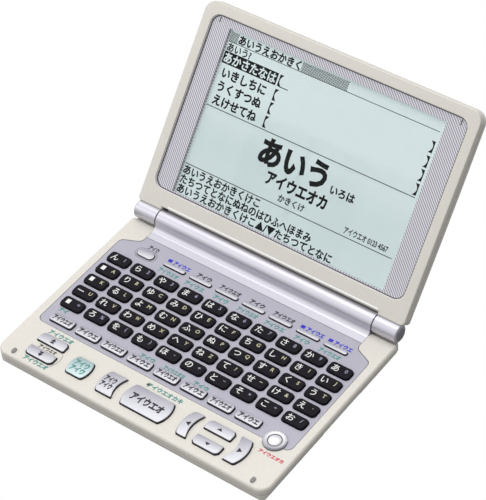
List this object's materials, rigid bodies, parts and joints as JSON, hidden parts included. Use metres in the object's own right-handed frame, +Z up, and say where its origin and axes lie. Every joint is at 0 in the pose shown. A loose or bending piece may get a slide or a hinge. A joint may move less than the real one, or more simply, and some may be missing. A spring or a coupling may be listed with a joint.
{
  "type": "electronic dictionary",
  "caption": "Clamshell pocket electronic dictionary with a hinged display lid, keyboard with travelling keys and a sliding battery door.",
  "frame": {"origin": "middle of the outline seen from above with the lid at rest, on the plane that the feet stand on", "axes": "+Z up out of the keyboard, +Y towards the hinge, +X to the right of a reader facing the screen"},
  "size_m": [0.1454, 0.1684, 0.0928],
  "materials": {
    "shell": "satin",
    "panel_plastic": "satin",
    "hinge_paint": "satin",
    "silver_key": "satin",
    "black_key": "satin",
    "surround_plastic": "satin",
    "window": "polished",
    "lcd": "satin",
    "white_plastic": "satin",
    "board": "satin",
    "rubber": "matte",
    "dark_plastic": "satin",
    "steel": "polished",
    "screw_steel": "satin",
    "cell_sleeve": "satin",
    "mat_rubber": "matte",
    "film": "satin"
  },
  "bodies": {
    "base": {"bottom_case": "shell", "top_case": "shell", "keyboard_panel": "panel_plastic", "hinge_cover": "hinge_paint", "left_hinge_pin": "steel", "right_hinge_pin": "steel", "key_mat": "mat_rubber", "circuit_board": "board", "battery_cells": "cell_sleeve", "battery_contacts": "steel", "case_screws": "screw_steel", "rubber_feet": "rubber", "lid_bumpers": "rubber", "round_key_ring": "silver_key", "port_cover": "dark_plastic"},
    "lid": {"lid_front_frame": "shell", "lid_back_cover": "shell", "left_knuckle": "hinge_paint", "right_knuckle": "hinge_paint", "knuckle_caps": "dark_plastic", "screen_surround": "surround_plastic", "display_window": "window", "lcd_panel": "lcd", "backlight_plate": "white_plastic", "display_board": "board", "cable_guide": "dark_plastic", "flex_cable": "film", "lid_screws": "screw_steel"},
    "door": {"battery_door": "shell"},
    "top_key_1_body": {"top_key_1": "silver_key"},
    "top_key_2_body": {"top_key_2": "silver_key"},
    "top_key_3_body": {"top_key_3": "silver_key"},
    "top_key_4_body": {"top_key_4": "silver_key"},
    "top_key_5_body": {"top_key_5": "silver_key"},
    "top_key_6_body": {"top_key_6": "silver_key"},
    "top_key_7_body": {"top_key_7": "silver_key"},
    "lower_key_1_body": {"lower_key_1": "silver_key"},
    "lower_key_2_body": {"lower_key_2": "silver_key"},
    "lower_key_3_body": {"lower_key_3": "silver_key"},
    "lower_key_4_body": {"lower_key_4": "silver_key"},
    "lower_key_5_body": {"lower_key_5": "silver_key"},
    "lower_key_6_body": {"lower_key_6": "silver_key"},
    "lower_key_7_body": {"lower_key_7": "silver_key"},
    "lower_key_8_body": {"lower_key_8": "silver_key"},
    "page_up_key_body": {"page_up_key": "silver_key"},
    "page_down_key_body": {"page_down_key": "silver_key"},
    "shift_key_body": {"shift_key": "silver_key"},
    "back_key_body": {"back_key": "silver_key"},
    "enter_key_body": {"enter_key": "silver_key"},
    "left_key_body": {"left_key": "silver_key"},
    "up_key_body": {"up_key": "silver_key"},
    "down_key_body": {"down_key": "silver_key"},
    "right_key_body": {"right_key": "silver_key"},
    "power_key_body": {"power_key": "silver_key"},
    "round_key_body": {"round_key": "silver_key"},
    "kana_keys_row_1_body": {"kana_keys_row_1": "black_key"},
    "kana_keys_row_2_body": {"kana_keys_row_2": "black_key"},
    "kana_keys_row_3_body": {"kana_keys_row_3": "black_key"},
    "kana_keys_row_4_body": {"kana_keys_row_4": "black_key"},
    "kana_keys_row_5_body": {"kana_keys_row_5": "black_key"}
  },
  "joints": [
    {"name": "lid_hinge", "type": "hinge", "parent": "base", "child": "lid", "pos_m": [0, 0.01605, 0.0141], "axis": [-1, 0, 0], "range_deg": [-130.4, 24.6]},
    {"name": "door_slide", "type": "slide", "parent": "base", "child": "door", "axis": [0, 1, 0], "range_m": [0, 0.012]},
    {"name": "top_key_1_travel", "type": "slide", "parent": "base", "child": "top_key_1_body", "axis": [0, 0, -1], "range_m": [0, 0.0008], "stiffness_N_per_m": 600, "springref_m": -0.0001},
    {"name": "top_key_2_travel", "type": "slide", "parent": "base", "child": "top_key_2_body", "axis": [0, 0, -1], "range_m": [0, 0.0008], "stiffness_N_per_m": 600, "springref_m": -0.0001},
    {"name": "top_key_3_travel", "type": "slide", "parent": "base", "child": "top_key_3_body", "axis": [0, 0, -1], "range_m": [0, 0.0008], "stiffness_N_per_m": 600, "springref_m": -0.0001},
    {"name": "top_key_4_travel", "type": "slide", "parent": "base", "child": "top_key_4_body", "axis": [0, 0, -1], "range_m": [0, 0.0008], "stiffness_N_per_m": 600, "springref_m": -0.0001},
    {"name": "top_key_5_travel", "type": "slide", "parent": "base", "child": "top_key_5_body", "axis": [0, 0, -1], "range_m": [0, 0.0008], "stiffness_N_per_m": 600, "springref_m": -0.0001},
    {"name": "top_key_6_travel", "type": "slide", "parent": "base", "child": "top_key_6_body", "axis": [0, 0, -1], "range_m": [0, 0.0008], "stiffness_N_per_m": 600, "springref_m": -0.0001},
    {"name": "top_key_7_travel", "type": "slide", "parent": "base", "child": "top_key_7_body", "axis": [0, 0, -1], "range_m": [0, 0.0008], "stiffness_N_per_m": 600, "springref_m": -0.0001},
    {"name": "lower_key_1_travel", "type": "slide", "parent": "base", "child": "lower_key_1_body", "axis": [0, 0, -1], "range_m": [0, 0.0008], "stiffness_N_per_m": 600, "springref_m": -0.0001},
    {"name": "lower_key_2_travel", "type": "slide", "parent": "base", "child": "lower_key_2_body", "axis": [0, 0, -1], "range_m": [0, 0.0008], "stiffness_N_per_m": 600, "springref_m": -0.0001},
    {"name": "lower_key_3_travel", "type": "slide", "parent": "base", "child": "lower_key_3_body", "axis": [0, 0, -1], "range_m": [0, 0.0008], "stiffness_N_per_m": 600, "springref_m": -0.0001},
    {"name": "lower_key_4_travel", "type": "slide", "parent": "base", "child": "lower_key_4_body", "axis": [0, 0, -1], "range_m": [0, 0.0008], "stiffness_N_per_m": 600, "springref_m": -0.0001},
    {"name": "lower_key_5_travel", "type": "slide", "parent": "base", "child": "lower_key_5_body", "axis": [0, 0, -1], "range_m": [0, 0.0008], "stiffness_N_per_m": 600, "springref_m": -0.0001},
    {"name": "lower_key_6_travel", "type": "slide", "parent": "base", "child": "lower_key_6_body", "axis": [0, 0, -1], "range_m": [0, 0.0008], "stiffness_N_per_m": 600, "springref_m": -0.0001},
    {"name": "lower_key_7_travel", "type": "slide", "parent": "base", "child": "lower_key_7_body", "axis": [0, 0, -1], "range_m": [0, 0.0008], "stiffness_N_per_m": 600, "springref_m": -0.0001},
    {"name": "lower_key_8_travel", "type": "slide", "parent": "base", "child": "lower_key_8_body", "axis": [0, 0, -1], "range_m": [0, 0.0008], "stiffness_N_per_m": 600, "springref_m": -0.0001},
    {"name": "page_up_key_travel", "type": "slide", "parent": "base", "child": "page_up_key_body", "axis": [0, 0, -1], "range_m": [0, 0.0008], "stiffness_N_per_m": 600, "springref_m": -0.0001},
    {"name": "page_down_key_travel", "type": "slide", "parent": "base", "child": "page_down_key_body", "axis": [0, 0, -1], "range_m": [0, 0.0008], "stiffness_N_per_m": 600, "springref_m": -0.0001},
    {"name": "shift_key_travel", "type": "slide", "parent": "base", "child": "shift_key_body", "axis": [0, 0, -1], "range_m": [0, 0.0008], "stiffness_N_per_m": 600, "springref_m": -0.0001},
    {"name": "back_key_travel", "type": "slide", "parent": "base", "child": "back_key_body", "axis": [0, 0, -1], "range_m": [0, 0.0008], "stiffness_N_per_m": 600, "springref_m": -0.0001},
    {"name": "enter_key_travel", "type": "slide", "parent": "base", "child": "enter_key_body", "axis": [0, 0, -1], "range_m": [0, 0.0008], "stiffness_N_per_m": 600, "springref_m": -0.0001},
    {"name": "left_key_travel", "type": "slide", "parent": "base", "child": "left_key_body", "axis": [0, 0, -1], "range_m": [0, 0.0008], "stiffness_N_per_m": 600, "springref_m": -0.0001},
    {"name": "up_key_travel", "type": "slide", "parent": "base", "child": "up_key_body", "axis": [0, 0, -1], "range_m": [0, 0.0008], "stiffness_N_per_m": 600, "springref_m": -0.0001},
    {"name": "down_key_travel", "type": "slide", "parent": "base", "child": "down_key_body", "axis": [0, 0, -1], "range_m": [0, 0.0008], "stiffness_N_per_m": 600, "springref_m": -0.0001},
    {"name": "right_key_travel", "type": "slide", "parent": "base", "child": "right_key_body", "axis": [0, 0, -1], "range_m": [0, 0.0008], "stiffness_N_per_m": 600, "springref_m": -0.0001},
    {"name": "power_key_travel", "type": "slide", "parent": "base", "child": "power_key_body", "axis": [0, 0, -1], "range_m": [0, 0.0008], "stiffness_N_per_m": 600, "springref_m": -0.0001},
    {"name": "round_key_travel", "type": "slide", "parent": "base", "child": "round_key_body", "axis": [0, 0, -1], "range_m": [0, 0.0008], "stiffness_N_per_m": 600, "springref_m": -0.0001},
    {"name": "kana_keys_row_1_travel", "type": "slide", "parent": "base", "child": "kana_keys_row_1_body", "axis": [0, 0, -1], "range_m": [0, 0.0008], "stiffness_N_per_m": 600, "springref_m": -0.0001},
    {"name": "kana_keys_row_2_travel", "type": "slide", "parent": "base", "child": "kana_keys_row_2_body", "axis": [0, 0, -1], "range_m": [0, 0.0008], "stiffness_N_per_m": 600, "springref_m": -0.0001},
    {"name": "kana_keys_row_3_travel", "type": "slide", "parent": "base", "child": "kana_keys_row_3_body", "axis": [0, 0, -1], "range_m": [0, 0.0008], "stiffness_N_per_m": 600, "springref_m": -0.0001},
    {"name": "kana_keys_row_4_travel", "type": "slide", "parent": "base", "child": "kana_keys_row_4_body", "axis": [0, 0, -1], "range_m": [0, 0.0008], "stiffness_N_per_m": 600, "springref_m": -0.0001},
    {"name": "kana_keys_row_5_travel", "type": "slide", "parent": "base", "child": "kana_keys_row_5_body", "axis": [0, 0, -1], "range_m": [0, 0.0008], "stiffness_N_per_m": 600, "springref_m": -0.0001}
  ]
}
